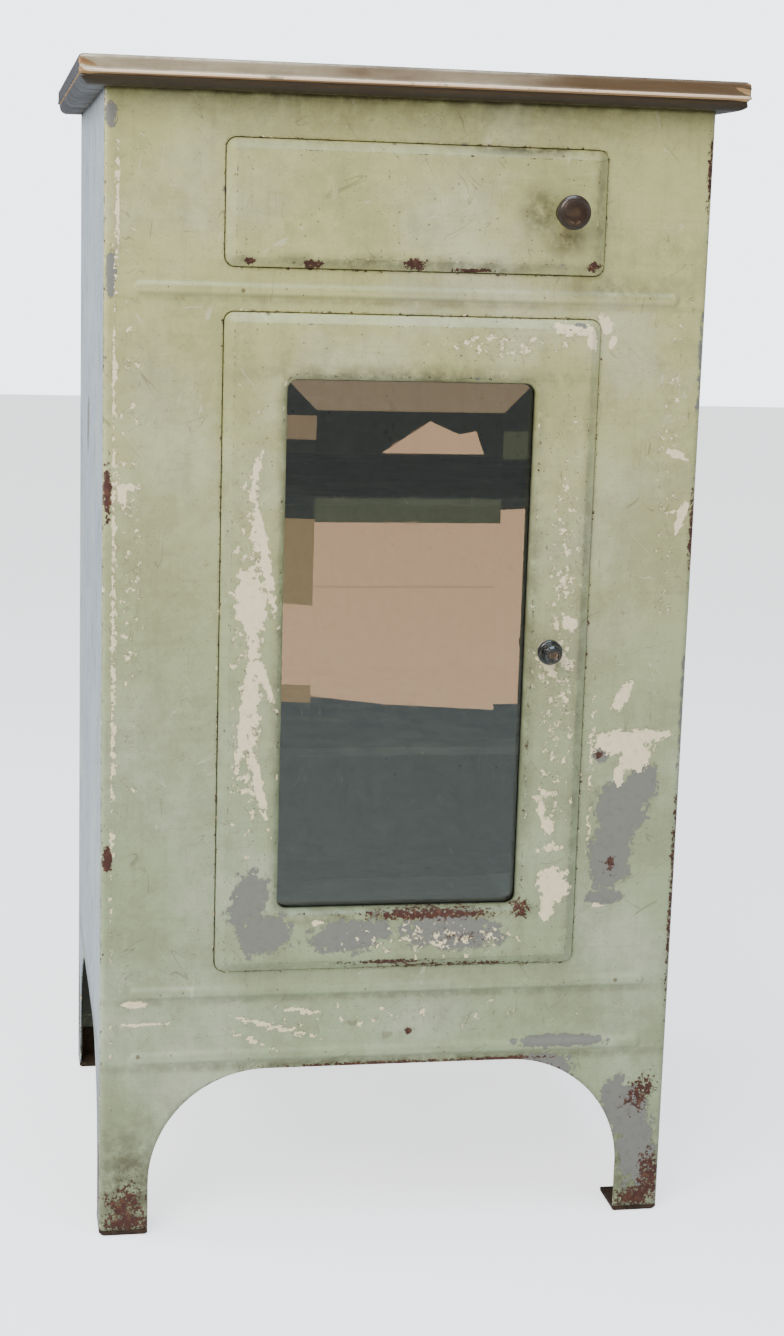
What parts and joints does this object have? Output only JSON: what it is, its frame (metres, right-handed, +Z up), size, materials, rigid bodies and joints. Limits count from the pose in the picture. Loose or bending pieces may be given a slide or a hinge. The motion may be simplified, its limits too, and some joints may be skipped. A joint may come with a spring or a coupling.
{
  "type": "metal storage cabinet",
  "caption": "Pressed-steel storage cabinet with a drawer above a bevelled-glass door, shelves inside, arched legs and an overhanging metal top.",
  "frame": {"origin": "on the floor under the middle of the whole object", "axes": "+Z up, the front faces -Y, +X to the right of someone facing the front"},
  "size_m": [0.497, 0.461, 0.902],
  "materials": {
    "green_enamel": "aged satin enamel",
    "inner_enamel": "dull inner enamel",
    "shelf_enamel": "dull inner enamel",
    "foot_iron": "rusted",
    "top_metal": "worn, patinated",
    "board": "raw board",
    "bare_steel": "dull",
    "glass": "polished, bevelled",
    "seal": "matte",
    "brown_knob": "dark worn patina",
    "black_knob": "glossy black"
  },
  "bodies": {
    "cabinet": {"front_panel": "green_enamel", "left_side_panel": "green_enamel", "right_side_panel": "green_enamel", "back_panel": "green_enamel", "divider_panel": "green_enamel", "floor_panel": "green_enamel", "front_left_post": "inner_enamel", "front_right_post": "inner_enamel", "rear_left_post": "inner_enamel", "rear_right_post": "inner_enamel", "front_top_rail": "inner_enamel", "rear_top_rail": "inner_enamel", "left_top_rail": "inner_enamel", "right_top_rail": "inner_enamel", "upper_shelf_rail_left": "inner_enamel", "upper_shelf_rail_right": "inner_enamel", "lower_shelf_rail_left": "inner_enamel", "lower_shelf_rail_right": "inner_enamel", "drawer_runner_left": "inner_enamel", "drawer_runner_right": "inner_enamel", "drawer_slide_left": "inner_enamel", "drawer_slide_right": "inner_enamel", "drawer_guide_left": "inner_enamel", "drawer_guide_right": "inner_enamel", "drawer_stop": "inner_enamel", "upper_shelf": "shelf_enamel", "lower_shelf": "shelf_enamel", "front_left_foot": "foot_iron", "front_right_foot": "foot_iron", "rear_left_foot": "foot_iron", "rear_right_foot": "foot_iron", "top_cover": "top_metal", "top_board": "board", "top_screws": "bare_steel", "lower_pivot_plate": "bare_steel", "upper_pivot_plate": "bare_steel", "strike_plate": "bare_steel"},
    "drawer": {"drawer_front": "green_enamel", "drawer_tray": "inner_enamel", "drawer_back": "inner_enamel", "drawer_knob": "brown_knob", "drawer_knob_screw": "bare_steel"},
    "door": {"door_pan": "green_enamel", "door_back": "inner_enamel", "door_glass": "glass", "glass_seal": "seal", "glazing_strip_left": "inner_enamel", "glazing_strip_right": "inner_enamel", "glazing_strip_top": "inner_enamel", "glazing_strip_bottom": "inner_enamel", "glazing_screws": "bare_steel", "lower_pivot_block": "bare_steel", "upper_pivot_block": "bare_steel", "lower_pivot_pin": "bare_steel", "upper_pivot_pin": "bare_steel", "knob_collar": "black_knob"},
    "latch": {"door_knob": "black_knob", "latch_spindle": "bare_steel", "latch_tongue": "bare_steel", "latch_nut": "bare_steel"}
  },
  "joints": [
    {"name": "drawer_slide", "type": "slide", "parent": "cabinet", "child": "drawer", "axis": [0, -1, 0], "range_m": [0, 0.3]},
    {"name": "door_hinge", "type": "hinge", "parent": "cabinet", "child": "door", "pos_m": [-0.1185, -0.194, 0.4705], "axis": [0, 0, -1], "range_deg": [0, 105]},
    {"name": "latch_turn", "type": "hinge", "parent": "door", "child": "latch", "pos_m": [0.114, -0.1985, 0.4705], "axis": [0, 1, 0], "range_deg": [0, 90]}
  ]
}
